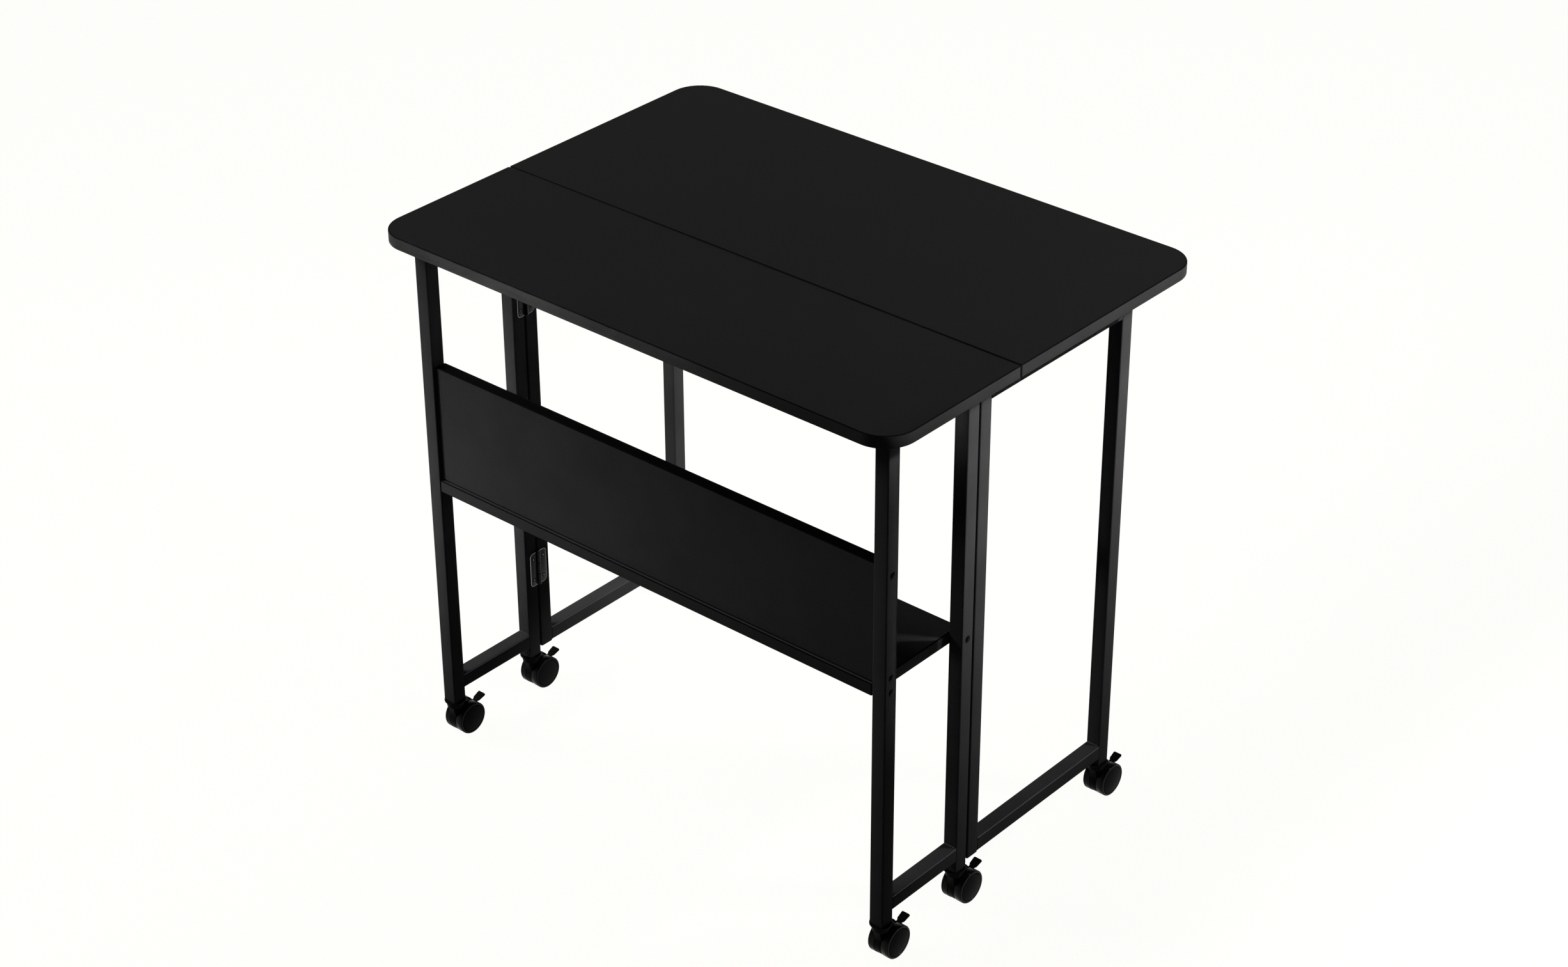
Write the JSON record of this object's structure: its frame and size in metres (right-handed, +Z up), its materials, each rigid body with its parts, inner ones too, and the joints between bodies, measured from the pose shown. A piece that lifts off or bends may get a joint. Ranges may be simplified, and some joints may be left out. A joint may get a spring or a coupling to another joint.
{
  "type": "folding desk",
  "caption": "Black gate-leg folding desk: a fixed top over a shelf with an upright panel, a drop leaf carried by hinged swing gates, and braked swivel casters.",
  "frame": {"origin": "on the floor under the middle of the open top", "axes": "+X along the desk's length, +Y towards the drop leaf's side, +Z up"},
  "size_m": [0.8, 0.58, 0.743],
  "materials": {
    "board": "satin black laminate on board",
    "tube": "black powder-coated steel tube",
    "hinge": "gloss black coated steel",
    "nylon": "satin black nylon",
    "wheel": "satin black wheel with a domed cover",
    "brake": "black plastic lever",
    "rest": "matte black rubber"
  },
  "bodies": {
    "base": {"fixed_top": "board", "shelf_board": "board", "shelf_panel": "board", "left_front_leg": "tube", "left_inner_leg": "tube", "left_frame_top_rail": "tube", "left_frame_foot_rail": "tube", "left_upper_hinge_frame_leaf": "hinge", "left_lower_hinge_frame_leaf": "hinge", "left_seam_hinge_top_leaf": "hinge", "right_front_leg": "tube", "right_inner_leg": "tube", "right_frame_top_rail": "tube", "right_frame_foot_rail": "tube", "right_upper_hinge_frame_leaf": "hinge", "right_lower_hinge_frame_leaf": "hinge", "right_seam_hinge_top_leaf": "hinge", "left_front_caster_socket": "nylon", "left_inner_caster_socket": "nylon", "right_front_caster_socket": "nylon", "right_inner_caster_socket": "nylon"},
    "leaf": {"drop_leaf": "board", "left_seam_hinge_drop_leaf": "hinge", "right_seam_hinge_drop_leaf": "hinge"},
    "left_gate": {"left_gate_inner_stile": "tube", "left_gate_outer_stile": "tube", "left_gate_top_rail": "tube", "left_gate_foot_rail": "tube", "left_upper_hinge_gate_leaf": "hinge", "left_lower_hinge_gate_leaf": "hinge", "left_leaf_rest": "rest", "left_gate_caster_socket": "nylon"},
    "right_gate": {"right_gate_inner_stile": "tube", "right_gate_outer_stile": "tube", "right_gate_top_rail": "tube", "right_gate_foot_rail": "tube", "right_upper_hinge_gate_leaf": "hinge", "right_lower_hinge_gate_leaf": "hinge", "right_leaf_rest": "rest", "right_gate_caster_socket": "nylon"},
    "left_front_caster_fork": {"left_front_caster_hood": "nylon"},
    "left_front_caster_roller": {"left_front_caster_wheels": "wheel"},
    "left_front_caster_lever": {"left_front_caster_brake": "brake"},
    "left_inner_caster_fork": {"left_inner_caster_hood": "nylon"},
    "left_inner_caster_roller": {"left_inner_caster_wheels": "wheel"},
    "left_inner_caster_lever": {"left_inner_caster_brake": "brake"},
    "left_gate_caster_fork": {"left_gate_caster_hood": "nylon"},
    "left_gate_caster_roller": {"left_gate_caster_wheels": "wheel"},
    "left_gate_caster_lever": {"left_gate_caster_brake": "brake"},
    "right_front_caster_fork": {"right_front_caster_hood": "nylon"},
    "right_front_caster_roller": {"right_front_caster_wheels": "wheel"},
    "right_front_caster_lever": {"right_front_caster_brake": "brake"},
    "right_inner_caster_fork": {"right_inner_caster_hood": "nylon"},
    "right_inner_caster_roller": {"right_inner_caster_wheels": "wheel"},
    "right_inner_caster_lever": {"right_inner_caster_brake": "brake"},
    "right_gate_caster_fork": {"right_gate_caster_hood": "nylon"},
    "right_gate_caster_roller": {"right_gate_caster_wheels": "wheel"},
    "right_gate_caster_lever": {"right_gate_caster_brake": "brake"}
  },
  "joints": [
    {"name": "leaf_hinge", "type": "hinge", "parent": "base", "child": "leaf", "pos_m": [0, -0.0596, 0.7242], "axis": [1, 0, 0], "range_deg": [0, 3]},
    {"name": "left_gate_swing", "type": "hinge", "parent": "base", "child": "left_gate", "pos_m": [-0.3472, -0.09275, 0.39], "axis": [0, 0, -1], "range_deg": [0, 90]},
    {"name": "right_gate_swing", "type": "hinge", "parent": "base", "child": "right_gate", "pos_m": [0.3472, -0.09275, 0.39], "axis": [0, 0, 1], "range_deg": [0, 90]},
    {"name": "left_front_caster_swivel", "type": "hinge", "parent": "base", "child": "left_front_caster_fork", "pos_m": [-0.36, -0.2445, 0.05], "axis": [0, 0, 1], "continuous": true},
    {"name": "left_front_caster_roll", "type": "hinge", "parent": "left_front_caster_fork", "child": "left_front_caster_roller", "pos_m": [-0.36, -0.2285, 0.022], "axis": [1, 0, 0], "continuous": true},
    {"name": "left_front_caster_brake_press", "type": "hinge", "parent": "left_front_caster_fork", "child": "left_front_caster_lever", "pos_m": [-0.36, -0.218, 0.0313], "axis": [-1, 0, 0], "range_deg": [0, 20]},
    {"name": "left_inner_caster_swivel", "type": "hinge", "parent": "base", "child": "left_inner_caster_fork", "pos_m": [-0.36, -0.104, 0.05], "axis": [0, 0, 1], "continuous": true},
    {"name": "left_inner_caster_roll", "type": "hinge", "parent": "left_inner_caster_fork", "child": "left_inner_caster_roller", "pos_m": [-0.36, -0.088, 0.022], "axis": [1, 0, 0], "continuous": true},
    {"name": "left_inner_caster_brake_press", "type": "hinge", "parent": "left_inner_caster_fork", "child": "left_inner_caster_lever", "pos_m": [-0.36, -0.0775, 0.0313], "axis": [-1, 0, 0], "range_deg": [0, 20]},
    {"name": "left_gate_caster_swivel", "type": "hinge", "parent": "left_gate", "child": "left_gate_caster_fork", "pos_m": [-0.36, 0.188, 0.05], "axis": [0, 0, 1], "continuous": true},
    {"name": "left_gate_caster_roll", "type": "hinge", "parent": "left_gate_caster_fork", "child": "left_gate_caster_roller", "pos_m": [-0.36, 0.204, 0.022], "axis": [1, 0, 0], "continuous": true},
    {"name": "left_gate_caster_brake_press", "type": "hinge", "parent": "left_gate_caster_fork", "child": "left_gate_caster_lever", "pos_m": [-0.36, 0.2145, 0.0313], "axis": [-1, 0, 0], "range_deg": [0, 20]},
    {"name": "right_front_caster_swivel", "type": "hinge", "parent": "base", "child": "right_front_caster_fork", "pos_m": [0.36, -0.2445, 0.05], "axis": [0, 0, 1], "continuous": true},
    {"name": "right_front_caster_roll", "type": "hinge", "parent": "right_front_caster_fork", "child": "right_front_caster_roller", "pos_m": [0.36, -0.2285, 0.022], "axis": [1, 0, 0], "continuous": true},
    {"name": "right_front_caster_brake_press", "type": "hinge", "parent": "right_front_caster_fork", "child": "right_front_caster_lever", "pos_m": [0.36, -0.218, 0.0313], "axis": [-1, 0, 0], "range_deg": [0, 20]},
    {"name": "right_inner_caster_swivel", "type": "hinge", "parent": "base", "child": "right_inner_caster_fork", "pos_m": [0.36, -0.104, 0.05], "axis": [0, 0, 1], "continuous": true},
    {"name": "right_inner_caster_roll", "type": "hinge", "parent": "right_inner_caster_fork", "child": "right_inner_caster_roller", "pos_m": [0.36, -0.088, 0.022], "axis": [1, 0, 0], "continuous": true},
    {"name": "right_inner_caster_brake_press", "type": "hinge", "parent": "right_inner_caster_fork", "child": "right_inner_caster_lever", "pos_m": [0.36, -0.0775, 0.0313], "axis": [-1, 0, 0], "range_deg": [0, 20]},
    {"name": "right_gate_caster_swivel", "type": "hinge", "parent": "right_gate", "child": "right_gate_caster_fork", "pos_m": [0.36, 0.188, 0.05], "axis": [0, 0, 1], "continuous": true},
    {"name": "right_gate_caster_roll", "type": "hinge", "parent": "right_gate_caster_fork", "child": "right_gate_caster_roller", "pos_m": [0.36, 0.204, 0.022], "axis": [1, 0, 0], "continuous": true},
    {"name": "right_gate_caster_brake_press", "type": "hinge", "parent": "right_gate_caster_fork", "child": "right_gate_caster_lever", "pos_m": [0.36, 0.2145, 0.0313], "axis": [-1, 0, 0], "range_deg": [0, 20]}
  ]
}
